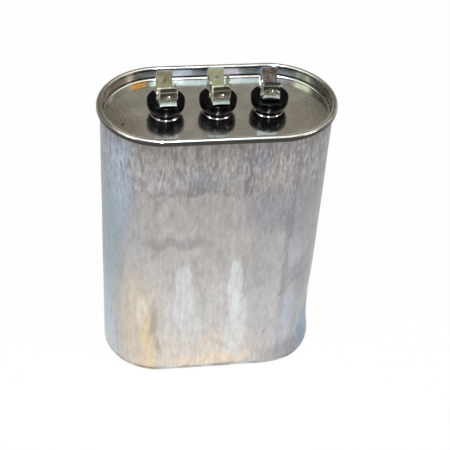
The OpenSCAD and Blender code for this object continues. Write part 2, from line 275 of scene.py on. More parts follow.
# %% Table of cards
CARDS = [
    # name, bearing, rise, distance, width, height, colour, brightness
    ("ceiling_card", 0, 88, 1.00, 1.9, 1.05, "#f6f7f2", 1.6),
    ("rear_card", 182, 36, 0.95, 1.7, 0.62, "#aeaaa2", 0.80),
    ("front_card", 0, 36, 1.40, 2.6, 0.66, "#66757f", 0.8),
    ("horizon_card", 0, 8, 1.30, 2.4, 0.36, "#3a3c40", 0.6),
    # The upper row shows in the panel, which mirrors the rear wall of the recess.
    ("window_card", 6, 44, 1.10, 0.36, 0.26, "#c6e8f6", 2.3),
    ("dusk_card", -25, 44, 1.10, 0.36, 0.26, "#aab4c4", 0.9),
    ("gold_card", 43, 44, 1.00, 0.46, 0.24, "#eaa92e", 1.7),
    ("sage_card", 88, 44, 1.00, 0.70, 0.24, "#b9c2b2", 0.8),
    ("pale_card", -72, 44, 1.00, 0.46, 0.24, "#ddf7e4", 2.2),
    ("moss_card", -118, 44, 1.00, 0.60, 0.24, "#6d7d72", 0.7),
    # The lower row shows in the wall itself.
    ("blue_card", 8, 28, 1.10, 0.40, 0.28, "#4f9ccc", 2.6),
    ("pink_card", 6.3, 28, 1.05, 0.030, 0.28, "#ead6dc", 2.4),
    ("peach_card", 10.9, 28, 1.05, 0.030, 0.28, "#f2a060", 2.7),
    ("sky_card", -20, 28, 1.05, 0.16, 0.28, "#b6e0f0", 1.6),
    ("slate_card", 36, 28, 1.05, 0.50, 0.28, "#4a5c6c", 0.8),
    ("brown_card", 98, 28, 1.00, 1.10, 0.28, "#8c7458", 1.0),
    ("fern_card", -68, 28, 1.00, 0.24, 0.28, "#93b4a2", 1.1),
    ("shade_card", -112, 28, 1.05, 1.00, 0.28, "#55594e", 0.8),
    # Narrow bright ones make the glints on the beads and bowls.
    ("front_glint", -5, 69, 0.90, 0.06, 1.10, "#dfe6ff", 90.0),
    ("left_glint", -58, 13, 0.90, 0.26, 0.18, "#e8ebff", 26.0),
    ("right_glint", 56, 13, 0.90, 0.26, 0.18, "#f4f0ff", 26.0),
]
print(len(CARDS), "cards")

# %% Stand the cards up
for name, turn, rise, distance, width, height, colour, brightness in CARDS:
    card = board(name, bearing(turn, rise, distance), (width, height), TOP)
    material, node = new_material(name)
    glow = node("ShaderNodeEmission", Color=linear(colour), Strength=brightness)
    node("ShaderNodeOutputMaterial", Surface=glow)
    card.data.materials.append(material)
    card.visible_camera = card.visible_diffuse = card.visible_shadow = False
    card.visible_transmission = False
print("brightest card:", max(CARDS, key=lambda card: card[-1])[0])

# %% [markdown]
# ## Sweeping a section round the racetrack
#
# The can and its cover are both a thin section carried round the same racetrack, as a drawing die
# and a seaming roller make them. A curve with a bevel object could carry the section, but then
# there is no say in where the points of the wall lie, and the knocks need them evenly spread. So
# one helper lays a section, given as pairs of radius and height, round the plan as a grid of
# points. Another joins two neighbouring rings of points with four-sided faces.


# %% Section helpers
def arc(r, z, radius, start, end, count):
    """Section points along an arc, from one angle to another in degrees. 0 points outwards."""
    return [(r + radius * math.cos(a), z + radius * math.sin(a))
            for a in np.radians(np.linspace(start, end, count))]


def stretch(start, end, step):
    """Section points along a straight, its end included, no further apart than the step."""
    count = max(1, math.ceil(math.dist(start, end) / step))
    start, end = np.array(start), np.array(end)
    return [tuple(start + (end - start) * k / count) for k in range(1, count + 1)]


print("a quarter turn in three points:", np.round(arc(0, 0, 1, 0, 90, 3), 2).tolist())


# %% Plan helpers
def racetrack(step):
    """The plan's columns: an anchor on the centre line, and the outward direction."""
    straight = np.linspace(-half_straight, half_straight, round(2 * half_straight / step) + 1)[:-1]
    bend = np.linspace(-90, 90, round(math.pi * seam_r / step) + 1)[:-1]
    columns = []
    for side in (1, -1):
        columns += [((side * x, 0), (0, -side)) for x in straight]
        columns += [
            ((side * half_straight, 0), (side * math.cos(a), side * math.sin(a)))
            for a in np.radians(bend)
        ]
    anchors, directions = (np.array(c) for c in zip(*columns))
    return anchors, directions


def swept_points(section, step):
    """Points of a section carried round the plan, as an array of (section, column, xyz)."""
    anchors, directions = racetrack(step)
    radii, heights = np.array(section).T
    flat = anchors[None] + radii[:, None, None] * directions[None]
    tall = np.broadcast_to(heights[:, None, None], (len(section), len(anchors), 1))
    return np.concatenate([flat, tall], axis=2)


print("plan columns at 1 mm:", len(racetrack(MM)[0]))


# %% Faces between rings
def ring_faces(bm, lower, upper):
    """Joins two rings of vertices, each one turn of the plan, with four-sided faces."""
    count = len(lower)
    for k in range(count):
        n = (k + 1) % count
        bm.faces.new((lower[k], lower[n], upper[n], upper[k]))


trial = bmesh.new()
square = [[trial.verts.new((x, y, z)) for x, y in ((0, 0), (1, 0), (1, 1), (0, 1))] for z in (0, 1)]
ring_faces(trial, *square)
print("faces between two rings of four points:", len(trial.faces))
trial.free()

# %% [markdown]
# ## Finishing a piece
#
# A curved sheet is shaded smooth and a real corner is kept sharp. A modifier could sort the edges by
# angle, but marking them in the mesh gives the same look in every program that opens it. Each new
# piece then takes the place of a CAD node. The CAD meshes themselves are never changed: the nodes
# that a piece replaces are hidden, and the piece rides on the root body with its material.

# %% Finish a mesh and take a node's place
SMOOTH_ANGLE = 35


def finish_mesh(bm, name, smooth_angle=SMOOTH_ANGLE):
    """Makes an object of a bmesh, smooth except where its faces turn by more than the angle."""
    bmesh.ops.recalc_face_normals(bm, faces=bm.faces)
    limit = math.radians(smooth_angle)
    for edge in bm.edges:
        edge.smooth = len(edge.link_faces) < 2 or edge.calc_face_angle(0) < limit
    for face in bm.faces:
        face.smooth = True
    mesh = bpy.data.meshes.new(name)
    bm.to_mesh(mesh)
    bm.free()
    obj = bpy.data.objects.new(name, mesh)
    bpy.context.scene.collection.objects.link(obj)
    print(f"{name}: {len(mesh.vertices)} points, {len(mesh.polygons)} faces")
    return obj


def stand_for(obj, material, slot, *replaced):
    """Puts a new piece in the place of CAD nodes, with its material. The slot is not used."""
    obj.data.materials.clear()
    obj.data.materials.append(material)
    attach(obj, "root")
    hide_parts(*replaced)


print("meshes are smooth up to an edge of", SMOOTH_ANGLE, "degrees")

# %% [markdown]
# ## Sizes of the two sheets
#
# The can is drawn from half a millimetre of aluminium and the cover is pressed from thinner
# tinplate. At the rim the cover's edge is rolled down, under and up again behind the can's own
# hooked edge, which locks and seals the two. The thicknesses are those of the CAD part. Everything
# else is worked out from them and from the measured plan, so that the layers can't run into each
# other.

# %% Sheet sizes
CAN_WALL, CAN_FLOOR, FOOT_RADIUS = 0.5 * MM, 0.8 * MM, 3.0 * MM
SHEET, PLAY = 0.3 * MM, 0.1 * MM
RECESS_DEPTH, PANEL_RADIUS = 4.8 * MM, 1.0 * MM
SEAM_HEIGHT, SEAM_RADIUS = 2.5 * MM, 0.9 * MM

can_r = seam_r - 2 * SHEET - CAN_WALL - 3 * PLAY
cavity_r = can_r - CAN_WALL
hook_r = can_r + PLAY
body_hook_r = hook_r + SHEET + PLAY
curl_r = (seam_r - hook_r) / 2
curl_z = rim_z - SEAM_HEIGHT + curl_r
bend_r = (body_hook_r + CAN_WALL - cavity_r) / 2
bend_z = rim_z - SHEET - PLAY - bend_r
panel_z = rim_z - RECESS_DEPTH
recess_r = cavity_r - PLAY - SHEET
print(f"can radius {can_r / MM:.2f} mm, panel at {panel_z / MM:.1f} mm")

# %% [markdown]
# ## Knocks in the can
#
# Half a millimetre of soft aluminium keeps every knock. Low on the right end something round has
# pressed the wall in, two short creases run up from it, and below it the corner of the can has been
# pushed outwards. A real can is also never quite flat. Knocks could be sculpted by hand or made
# with a displacement texture. Formulas are used, because they give the same can on each run. They
# move the points of the wall in or out along the plan's outward direction. The inside moves by as
# much, which keeps the sheet's thickness.

# %% Sizes of the knocks
BALL_RADIUS, BALL_DEPTH, BALL_HEIGHT, BALL_TURN = 36 * MM, 1.1 * MM, 43 * MM, math.radians(-62)
SOFT_LIP = 0.12 * MM
BULGE, HOLLOW, CREASE, WAVE = 1.25 * MM, 0.45 * MM, 0.3 * MM, 0.07 * MM
# The middle and the spread of the bulge and the hollow, in degrees round the right end from the X
# axis. The bulge fades out between two heights. The hollow has a middle height and a reach.
BULGE_TURN, BULGE_SPREAD, BULGE_FADE = -28, 42, (16 * MM, 3 * MM)
HOLLOW_TURN, HOLLOW_SPREAD, HOLLOW_HEIGHT, HOLLOW_REACH = -12, 30, 30, 14
# Creases, as girth and height at both ends in millimetres. Girth runs along the wall, to the right
# from its middle.
CREASES = [((27, 42), (38, 52)), ((30, 51), (39, 59))]
CREASE_WIDTH = 1.3
# Below these heights the wall is free to move. The seam above holds it round.
HELD, FREE = rim_z - 5 * MM, rim_z - 22 * MM
print("deepest knock", BALL_DEPTH / MM, "mm, bulge", BULGE / MM, "mm")


# %% Knock by knock
def fade(value, start, end):
    """Smoothly from 0 at the start to 1 at the end."""
    t = np.clip((value - start) / (end - start), 0, 1)
    return t * t * (3 - 2 * t)


def ball_knock(points):
    """The dip that a ball leaves, with a soft lip."""
    direction = Vector((math.cos(BALL_TURN), math.sin(BALL_TURN), 0))
    ball = Vector((half_straight, 0, BALL_HEIGHT))
    ball += (can_r - BALL_DEPTH + BALL_RADIUS) * direction
    inside = BALL_RADIUS - np.linalg.norm(points - np.array(ball), axis=2)
    return -SOFT_LIP * np.logaddexp(0, inside / SOFT_LIP)


def bulge_and_hollow(height, anchors, directions):
    """The corner pushed outwards at the foot, and the shallow hollow above it."""
    angle = np.degrees(np.arctan2(directions[:, 1], directions[:, 0]))[None]
    # Both belong to the right end alone.
    right = (anchors[:, 0] > half_straight - 2 * MM)[None] * 1.0
    low_corner = np.exp(-((angle - BULGE_TURN) / BULGE_SPREAD) ** 4) * right
    hollow = np.exp(-((angle - HOLLOW_TURN) / HOLLOW_SPREAD) ** 2) * right
    hollow = hollow * np.exp(-((height / MM - HOLLOW_HEIGHT) / HOLLOW_REACH) ** 2)
    return BULGE * low_corner * fade(height, *BULGE_FADE) - HOLLOW * hollow


def crease(girth, height, start, end):
    """One straight crease from start to end, all in millimetres."""
    (g0, z0), (g1, z1) = start, end
    length = math.hypot(g1 - g0, z1 - z0)
    along = ((girth - g0) * (g1 - g0) + (height - z0) * (z1 - z0)) / length
    across = ((girth - g0) * (z1 - z0) - (height - z0) * (g1 - g0)) / length
    # It runs out over a few millimetres at either end.
    reach = fade(along, -2, 2) * fade(along, length + 3, length - 2)
    return -CREASE * reach * np.exp(-(across / CREASE_WIDTH) ** 2)


print("knocks: a ball, a bulge, a hollow and", len(CREASES), "creases")


# %% All the knocks together
def girth_of(anchors, directions):
    """Distance along the wall from the middle of its front, positive to the right, in metres."""
    turn = np.arctan2(directions[:, 0], -directions[:, 1])
    return anchors[:, 0] + can_r * turn


def wall_shift(points, anchors, directions):
    """How far outwards each wall point moves."""
    height = points[..., 2]
    shift = ball_knock(points) + bulge_and_hollow(height, anchors, directions)
    girth = girth_of(anchors, directions)[None] / MM + 0 * height
    for start, end in CREASES:
        shift += crease(girth, height / MM, start, end)
    # Slow waves, 7 to 12 centimetres long, keep the wall from being perfectly flat.
    x, y, z = points[..., 0] / MM, points[..., 1] / MM, height / MM
    shift += WAVE * np.sin(x / 11 + z / 17) * np.sin(z / 13 + y / 19)
    return shift * fade(height, HELD, FREE)


print("the wall moves below", round(HELD / MM), "mm")

# %% [markdown]
# ## The drawn can
#
# The can is one skin: up the outside, over the hooked edge, down the inside and across the floor.
# It could be an outer skin with a Solidify modifier, but the hook and the rounded inner corner of a
# real drawn can need their own shape. The wall has a row of points every millimetre, so that the
# knocks have something to bend. Its two floors are single flat faces, because nothing happens
# there.

# %% Section of the can
ROW = 1.0 * MM
outside = arc(can_r - FOOT_RADIUS, FOOT_RADIUS, FOOT_RADIUS, -90, 0, 9)
outside += stretch(outside[-1], (can_r, bend_z), ROW)
hook = arc(cavity_r + bend_r, bend_z, bend_r - CAN_WALL, 180, 0, 9)[1:]
hook += [(body_hook_r, curl_z), (body_hook_r + CAN_WALL, curl_z)]
hook += arc(cavity_r + bend_r, bend_z, bend_r, 0, 180, 11)
inner_foot = FOOT_RADIUS - CAN_WALL
inside = stretch((cavity_r, bend_z), (cavity_r, CAN_FLOOR + inner_foot), ROW)
inside += arc(cavity_r - inner_foot, CAN_FLOOR + inner_foot, inner_foot, 0, -90, 7)[1:]
section = outside + hook + inside
print("points in the can's section:", len(section))

# %% Build the can
COLUMN = 0.95 * MM
points = swept_points(section, COLUMN)
anchors, directions = racetrack(COLUMN)
points[..., :2] += wall_shift(points, anchors, directions)[..., None] * directions[None]

bm = bmesh.new()
rings = [[bm.verts.new(p) for p in ring] for ring in points]
for lower, upper in zip(rings, rings[1:]):
    ring_faces(bm, lower, upper)
bm.faces.new(rings[0])
bm.faces.new(rings[-1])
can = finish_mesh(bm, "can_shell")

# %% [markdown]
# ## Marks on the can
#
# Water has dried on the can in long runs and handling has greyed it higher up. The warm tint near the
# foot and the blue at the ends are painted reflections. The light patches beside the creases are
# painted highlights, and the dark lines in the creases are painted shade. The marks could be painted
# on an image, but that takes an unwrapped mesh and a file beside the script. Here each mark is an
# ellipsoid in space that touches the wall, which is simple and has no seam. A mark is placed by its
# girth and its height.

# %% Table of marks
STAINS_AND_PAINTED_LIGHT = [
    # girth, height, half width, half height in mm, softness of the edge, colour, strength
    # The blue marks at the ends and the warm ones low on the wall are painted reflections.
    (-49, 100, 14, 50, 0.4, "#98a3ae", 0.7),
    (-41, 110, 4.5, 30, 0.2, "#a6b3be", 0.6),
    (-52, 62, 10, 44, 0.4, "#93a5ad", 0.6),
    (-50, 18, 9, 26, 0.5, "#b5c0c5", 0.6),
    (-8, 106, 7, 7, 0.3, "#8a8793", 0.5),
    (1, 105, 5, 6, 0.3, "#9a9997", 0.4),
    (15, 116, 8, 7, 0.4, "#858291", 0.5),
    (10, 106, 2, 9, 0.4, "#6f6c74", 0.5),
    (22, 111, 5, 9, 0.3, "#b0aaa0", 0.5),
    (19, 90, 9, 12, 0.4, "#8b8895", 0.5),
    (28.5, 85, 1.8, 56, 0.4, "#87848f", 0.6),
    (38, 112, 12, 20, 0.4, "#908d8e", 0.6),
    (42, 80, 9, 44, 0.4, "#92908f", 0.6),
    (34, 58, 8, 26, 0.4, "#a0a2a8", 0.4),
    (-17, 75, 13, 3, 0.5, "#8f8b88", 0.5),
    (-12, 101, 22, 1.2, 0.6, "#87837f", 0.5),
    (-41, 34, 4, 34, 0.5, "#a9a8a4", 0.5),
    (-32, 26, 9.5, 30, 0.5, "#d8c9b0", 0.7),
    (-31, 36, 2.2, 9, 0.3, "#e8dfcf", 0.7),
    (-28.5, 14, 3, 18, 0.5, "#ecd6a8", 0.7),
    (-25.5, 32, 1.6, 9, 0.6, "#a89a8a", 0.6),
    (-24, 18, 1.4, 5, 0.6, "#a08f80", 0.6),
    (-2, 15, 24, 9, 0.6, "#e6d8c6", 0.6),
    (-1, 6.5, 24, 3.2, 0.6, "#f2dfc4", 0.7),
    (-13.5, 45, 3.8, 18, 0.12, "#dfe2df", 0.6),
    (-10, 27, 4.2, 16, 0.2, "#dcdedb", 0.5),
    (7.5, 50, 3, 15, 0.15, "#dfe3e1", 0.6),
    (9.5, 28, 4.5, 20, 0.12, "#e0e4e3", 0.6),
    (20, 24, 7, 24, 0.5, "#b8b5b7", 0.5),
    # These two light blue patches by the creases are painted highlights.
    (32, 24, 6, 18, 0.4, "#a9adb4", 0.6),
    (33, 30, 4, 10, 0.3, "#b9c0c9", 0.5),
    (19, 64, 7, 18, 0.5, "#a3a2a2", 0.5),
    (31, 90, 6, 14, 0.5, "#8b8890", 0.5),
    (34, 62, 4, 8, 0.4, "#b4b8be", 0.4),
    (40, 26, 6, 30, 0.4, "#969b9e", 0.6),
    (38, 7, 14, 7, 0.5, "#918e94", 0.8),
    (47, 14, 7, 14, 0.4, "#7f98a9", 0.8),
    (-10, 18, 0.8, 1.0, 0.5, "#9c9690", 0.5),
    (22, 21, 0.8, 1.4, 0.5, "#8f8a90", 0.5),
    (3, 16, 3, 1.2, 0.8, "#b9aca4", 0.4),
    (74, 60, 16, 30, 0.5, "#9c9a9b", 0.5),
    (100, 30, 12, 26, 0.3, "#dcdcd8", 0.6),
    (112, 84, 20, 18, 0.5, "#8f8d92", 0.5),
    (-96, 24, 16, 20, 0.5, "#d8c8ac", 0.5),
]
# Painted shade lies in each crease as a dark line, four marks in a row.
PAINTED_CREASE_SHADE = (2.4, 1.5, 0.7, "#868991", 0.4)
for (g0, z0), (g1, z1) in CREASES:
    for t in (0.15, 0.4, 0.65, 0.9):
        STAINS_AND_PAINTED_LIGHT.append((g0 + (g1 - g0) * t, z0 + (z1 - z0) * t, *PAINTED_CREASE_SHADE))
print("marks on the can:", len(STAINS_AND_PAINTED_LIGHT))


# %% Where a mark lies
def wall_point(girth):
    """The point of the can's plan at a girth in millimetres, back in millimetres."""
    straight, radius = half_straight / MM, can_r / MM
    end = math.pi * radius
    girth = (girth + straight) % (4 * straight + 2 * end)
    side = 1
    if girth > 2 * straight + end:
        girth -= 2 * straight + end
        side = -1
    if girth <= 2 * straight:
        return side * (girth - straight), -side * radius
    turn = (girth - 2 * straight) / radius
    return side * (straight + radius * math.sin(turn)), -side * radius * math.cos(turn)


print("the right end begins at a girth of", round(half_straight / MM, 1), "mm:",
      [round(v, 1) for v in wall_point(half_straight / MM)])

# %% [markdown]
# ## Washed aluminium
#
# The can is deep drawn aluminium, which is cold worked into fine upright streaks, then washed and
# left bare. Its oxide is dull: the metal is fully metallic, but rough, so it gives back a blurred
# white. An anisotropic shader would show such streaks as one even sheen. These are uneven and can
# be told apart, so noise draws them, stretched along the pull of the die. Real drawing lines are a
# few tenths of a millimetre wide, too fine to show here, so they are drawn as coarse as they need
# to be.

# %% Grain of the metal
GRAINS = {
    # name: millimetres across and along the pull, detail and roughness of the noise
    "streaks": (1.6, 5, 5, 0.65),
    "hairs": (0.8, 3.5, 3, 0.6),
    "blotches": (4, 8, 3, 0.55),
    "runs": (2.4, 26, 3, 0.55),
    "clouds": (13, 30, 4, 0.65),
    "fray": (4, 13, 3, 0.6),
    "rubs": (9, 2, 4, 0.6),
}
aluminium, node = new_material("washed_aluminium")
place = node("ShaderNodeVectorMath", {"operation": "SCALE"},
             Vector=node("ShaderNodeTexCoord").outputs["Object"], Scale=1 / MM)
height = node("ShaderNodeSeparateXYZ", Vector=place).outputs["Z"]
grain = {}
for name, (across, along, detail, roughness) in GRAINS.items():
    scaled = node("ShaderNodeVectorMath", {"operation": "MULTIPLY"},
                  _0=place, _1=(1 / across, 1 / across, 1 / along))
    grain[name] = node("ShaderNodeTexNoise", Vector=scaled, Scale=1.0, Detail=detail,
                       Roughness=roughness)
print("grains of the aluminium:", ", ".join(grain))

# %% Base tone
# The metal is paler towards the foot and darker towards the top, with clouds, blotches and runs in
# it.
DARK_HEIGHT, PALE_HEIGHT = 128, 8
SWINGS = {"clouds": 0.6, "blotches": 0.5, "runs": 0.45}
pale = node("ShaderNodeMapRange", Value=height, From_Min=DARK_HEIGHT, From_Max=PALE_HEIGHT)
for name, swing in SWINGS.items():
    swung = node("ShaderNodeMath", {"operation": "MULTIPLY_ADD"},
                 _0=grain[name], _1=swing, _2=-swing / 2)
    pale = node("ShaderNodeMath", {"operation": "ADD"}, _0=pale, _1=swung)
colour = node("ShaderNodeMix", {"data_type": "RGBA"}, Factor=pale,
              A=linear("#9a9691"), B=linear("#d9d6d1"))
print("palest below", PALE_HEIGHT, "mm")

# %% Lay the marks
# Noise pulls the edge of each mark about by a few millimetres, and lets the metal show unevenly.
FRAY = (6, 6, 12)
frayed = node("ShaderNodeVectorMath", {"operation": "SUBTRACT"},
              _0=grain["fray"].outputs["Color"], _1=(0.5, 0.5, 0.5))
frayed = node("ShaderNodeVectorMath", {"operation": "MULTIPLY"}, _0=frayed, _1=FRAY)
frayed = node("ShaderNodeVectorMath", {"operation": "ADD"}, _0=place, _1=frayed)
uneven = node("ShaderNodeMapRange", Value=grain["runs"], From_Min=0.3, From_Max=0.7,
              To_Min=0.7, To_Max=1.25)
for girth, up, half_w, half_h, soft, tint, strength in STAINS_AND_PAINTED_LIGHT:
    x, y = wall_point(girth)
    off = node("ShaderNodeVectorMath", {"operation": "SUBTRACT"}, _0=frayed, _1=(x, y, up))
    off = node("ShaderNodeVectorMath", {"operation": "DIVIDE"}, _0=off, _1=(half_w, half_w, half_h))
    far = node("ShaderNodeVectorMath", {"operation": "LENGTH"}, Vector=off).outputs["Value"]
    share = node("ShaderNodeMapRange", {"interpolation_type": "SMOOTHSTEP"}, Value=far,
                 From_Min=1 + soft, From_Max=1 - soft, To_Max=strength)
    share = node("ShaderNodeMath", {"operation": "MULTIPLY", "use_clamp": True},
                 _0=share, _1=uneven)
    colour = node("ShaderNodeMix", {"data_type": "RGBA"}, Factor=share, A=colour, B=linear(tint))
print("marks laid:", len(STAINS_AND_PAINTED_LIGHT))

# %% Drawing streaks
# Streaks are the strongest near the top, where the die has worked the metal most. There are wide
# dark ones and fine light ones.
worked = node("ShaderNodeMapRange", {"interpolation_type": "SMOOTHSTEP"}, Value=height,
              From_Min=84, From_Max=121, To_Min=0.3, To_Max=1.1)
dark = node("ShaderNodeMapRange", {"interpolation_type": "SMOOTHSTEP"}, Value=grain["streaks"],
            From_Min=0.36, From_Max=0.58, To_Min=0.62, To_Max=0)
light = node("ShaderNodeMapRange", {"interpolation_type": "SMOOTHSTEP"}, Value=grain["hairs"],
             From_Min=0.45, From_Max=0.75, To_Max=0.45)
for streak, tint in ((dark, "#75716f"), (light, "#e4e3e0")):
    share = node("ShaderNodeMath", {"operation": "MULTIPLY"}, _0=streak, _1=worked)
    colour = node("ShaderNodeMix", {"data_type": "RGBA"}, Factor=share, A=colour, B=linear(tint))
print("streaks: dark and light")

# %% Painted seam shade, dirt and finish
# Painted shade darkens the wall under the overhanging seam, and brown dirt has been rubbed into the
# edge that the can stands on.
under = node("ShaderNodeMapRange", {"interpolation_type": "SMOOTHSTEP"}, Value=height,
             From_Min=113, From_Max=124.5, To_Max=0.4)
colour = node("ShaderNodeMix", {"data_type": "RGBA"}, Factor=under, A=colour, B=linear("#77726f"))
foot = node("ShaderNodeMapRange", {"interpolation_type": "SMOOTHSTEP"}, Value=height,
            From_Min=4.5, From_Max=2.5)
rubbed = node("ShaderNodeMapRange", Value=grain["rubs"], From_Min=0.44, From_Max=0.58, To_Max=0.7)
foot = node("ShaderNodeMath", {"operation": "MULTIPLY"}, _0=foot, _1=rubbed)
colour = node("ShaderNodeMix", {"data_type": "RGBA"}, Factor=foot, A=colour, B=linear("#6a5a50"))

# Washed aluminium is typically between 0.4 and 0.6 rough.
rough = node("ShaderNodeMapRange", Value=grain["clouds"], From_Min=0.3, From_Max=0.7,
             To_Min=0.44, To_Max=0.58)
bump = node("ShaderNodeBump", Height=grain["streaks"], Strength=0.25, Distance=0.05 * MM)
metal = node("ShaderNodeBsdfPrincipled", Base_Color=colour, Metallic=1.0, Roughness=rough,
             Normal=bump)
node("ShaderNodeOutputMaterial", Surface=metal)
stand_for(can, aluminium, "can_aluminium", "can")
print("nodes in", aluminium.name + ":", len(aluminium.node_tree.nodes))

# %% [markdown]
# ## Turned shapes
#
# The beads of the cover, the bushings and the rivets are bodies of revolution. A Screw modifier
# would turn a profile as well, but it leaves the joining to other meshes to be done by hand.
# Spinning a section of (radius, height) in code gives rings of points that can be joined to
# anything. Seventy-two steps keep a mirror-bright edge smooth.

# %% Spin and lathe
TURN_STEPS = 72


def spin(bm, x, z, section, steps=TURN_STEPS):
    """Rings of points for a section spun about the upright axis at x, joined in turn."""
    circles = [
        [bm.verts.new((x + r * math.cos(a), r * math.sin(a), z + h))
         for a in np.linspace(0, 2 * math.pi, steps, endpoint=False)]
        for r, h in section
    ]
    for lower, upper in zip(circles, circles[1:]):
        ring_faces(bm, lower, upper)
    return circles


def lathe(bm, x, z, section, steps=TURN_STEPS):
    """The same for a closed section, which makes a closed body."""
    circles = spin(bm, x, z, section, steps)
    ring_faces(bm, circles[-1], circles[0])


print("each step of a turned shape is", 360 / TURN_STEPS, "degrees")

# %% [markdown]
# ## The cover and the double seam
#
# The cover's edge is the same kind of sweep as the can. It starts at the panel, climbs the wall of
# the recess, goes over the rim, curls under the can's hook and comes back along its own underside.
# The wall leans out by a hair, as the draft of a pressing tool leaves it. A short flat row beside
# each bend keeps the smooth shading of the bend out of the panel, which would show it as a warp.

# %% Section of the cover's edge
FLAT, DRAFT = 0.3 * MM, 0.13 * MM
corner_r = recess_r - PANEL_RADIUS - DRAFT
top_side = [(corner_r - FLAT, panel_z)]
top_side += arc(corner_r, panel_z + PANEL_RADIUS, PANEL_RADIUS, -90, 0, 13)
top_side += stretch(top_side[-1], (recess_r, rim_z - SEAM_RADIUS), 0.4 * MM)
top_side += arc(recess_r + SEAM_RADIUS, rim_z - SEAM_RADIUS, SEAM_RADIUS, 180, 90, 13)[1:]
top_side += arc(seam_r - SEAM_RADIUS, rim_z - SEAM_RADIUS, SEAM_RADIUS, 90, 0, 13)
top_side += stretch(top_side[-1], (seam_r, curl_z), 0.4 * MM)
top_side += arc(hook_r + curl_r, curl_z, curl_r, 0, -180, 15)[1:]
top_side += [(hook_r, bend_z)]
under_side = [(hook_r + SHEET, bend_z)]
under_side += arc(hook_r + curl_r, curl_z, curl_r - SHEET, -180, 0, 11)
under_side += arc(seam_r - SEAM_RADIUS, rim_z - SEAM_RADIUS, SEAM_RADIUS - SHEET, 0, 90, 7)
under_side += arc(recess_r + SEAM_RADIUS, rim_z - SEAM_RADIUS, SEAM_RADIUS - SHEET, 90, 180, 7)
under_side += arc(corner_r, panel_z + PANEL_RADIUS, PANEL_RADIUS + SHEET, 0, -90, 7)
under_side += [(corner_r - FLAT, panel_z - SHEET)]
print("points in the cover's section:", len(top_side) + len(under_side))

# %% Sweep the edge
bm = bmesh.new()
rings = [[bm.verts.new(p) for p in ring] for ring in swept_points(top_side + under_side, 0.8 * MM)]
for lower, upper in zip(rings, rings[1:]):
    ring_faces(bm, lower, upper)
print("edge faces:", len(bm.faces))

# %% [markdown]
# ### Three beaded holes
#
# The panel in the middle has three holes, each with a pressed bead round it. A Boolean modifier
# could cut them, but it leaves ragged triangles that a mirror shows. Spun rings make the beads, and
# Blender's triangle fill closes the flat stretch between them and the edge.

# %% Beads and panel
PITCH = 20 * MM
BUSHING_FOOT_R, NECK_R, BEAD_RADIUS = 4.8 * MM, 3.4 * MM, 0.5 * MM
bead_r = BUSHING_FOOT_R + BEAD_RADIUS + PLAY
hole_r = NECK_R + PLAY
places = [-PITCH, 0, PITCH]

bead = arc(bead_r, 0, BEAD_RADIUS, 0, 180, 9) + [(hole_r, 0), (hole_r, -SHEET)]
upper_loops, lower_loops = [rings[0]], [rings[-1]]
for x in places:
    circles = spin(bm, x, panel_z, bead)
    upper_loops.append(circles[0])
    lower_loops.append(circles[-1])
for loops in (upper_loops, lower_loops):
    edges = [bm.edges.get((loop[k - 1], loop[k])) for loop in loops for k in range(len(loop))]
    bmesh.ops.triangle_fill(bm, use_beauty=True, use_dissolve=False, edges=edges)
cover = finish_mesh(bm, "cover_plate")

# %% [markdown]
# ## Tinplate
#
# The cover is steel sheet with a bright coat of tin. Tin is a grey, slightly warm metal and it is
# rolled smooth, so the panel is close to a mirror. Fingers and flux have left dull patches on it.
# An even mirror with one grey would be quicker, but it looks like chrome. What tells tin from
# chrome is the warm grey, the patches and a reflection that wavers, because thin sheet isn't flat.

# %% Table of smudges
SMUDGES = [
    # x, y on the panel and half width in mm, colour, strength
    (-35, -8, 7, "#ab9880", 0.5),
    (-36.9, -6.6, 0.8, "#1e1c1a", 0.95),
    (-33.5, -2.5, 1.0, "#e6dccb", 0.6),
    (-1, -17.5, 2.0, "#f4f4f2", 0.8),
    (34, -6, 9, "#c2b8a2", 0.4),
    (34, 4, 3, "#c8c2b4", 0.5),
    (-47, 0, 15, "#8d8474", 0.7),
    (47, 0, 15, "#8b897a", 0.7),
]
print("smudges on the cover:", len(SMUDGES))

# %% Tin with its smudges
# The patches of tone are a few millimetres wide, as a fingertip's marks are. The specks are about a
# millimetre, coarser than real dust so that they show.
PATCH_SIZE, SPECK_SIZE = 7, 1.1
tin, node = new_material("bright_tinplate")
place = node("ShaderNodeVectorMath", {"operation": "SCALE"},
             Vector=node("ShaderNodeTexCoord").outputs["Object"], Scale=1 / MM)
axes = node("ShaderNodeSeparateXYZ", Vector=place).outputs
patches = node("ShaderNodeTexNoise", Vector=place, Scale=1 / PATCH_SIZE, Detail=5.0, Roughness=0.6)
specks = node("ShaderNodeTexNoise", Vector=place, Scale=1 / SPECK_SIZE, Detail=3.0, Roughness=0.6)
tone = node("ShaderNodeMapRange", Value=patches, From_Min=0.35, From_Max=0.65)
colour = node("ShaderNodeMix", {"data_type": "RGBA"}, Factor=tone,
              A=linear("#cbc7be"), B=linear("#dcd9d2"))
for x, y, half, tint, strength in SMUDGES:
    off = node("ShaderNodeVectorMath", {"operation": "SUBTRACT"},
               _0=place, _1=(x, y, panel_z / MM))
    far = node("ShaderNodeVectorMath", {"operation": "LENGTH"}, Vector=off).outputs["Value"]
    wobble = node("ShaderNodeMath", {"operation": "MULTIPLY_ADD"}, _0=specks, _1=half * 1.2, _2=far)
    share = node("ShaderNodeMapRange", {"interpolation_type": "SMOOTHSTEP"}, Value=wobble,
                 From_Min=half * 1.9, From_Max=half * 0.9, To_Max=strength)
    colour = node("ShaderNodeMix", {"data_type": "RGBA"}, Factor=share, A=colour, B=linear(tint))
print("smudges laid on the tin")
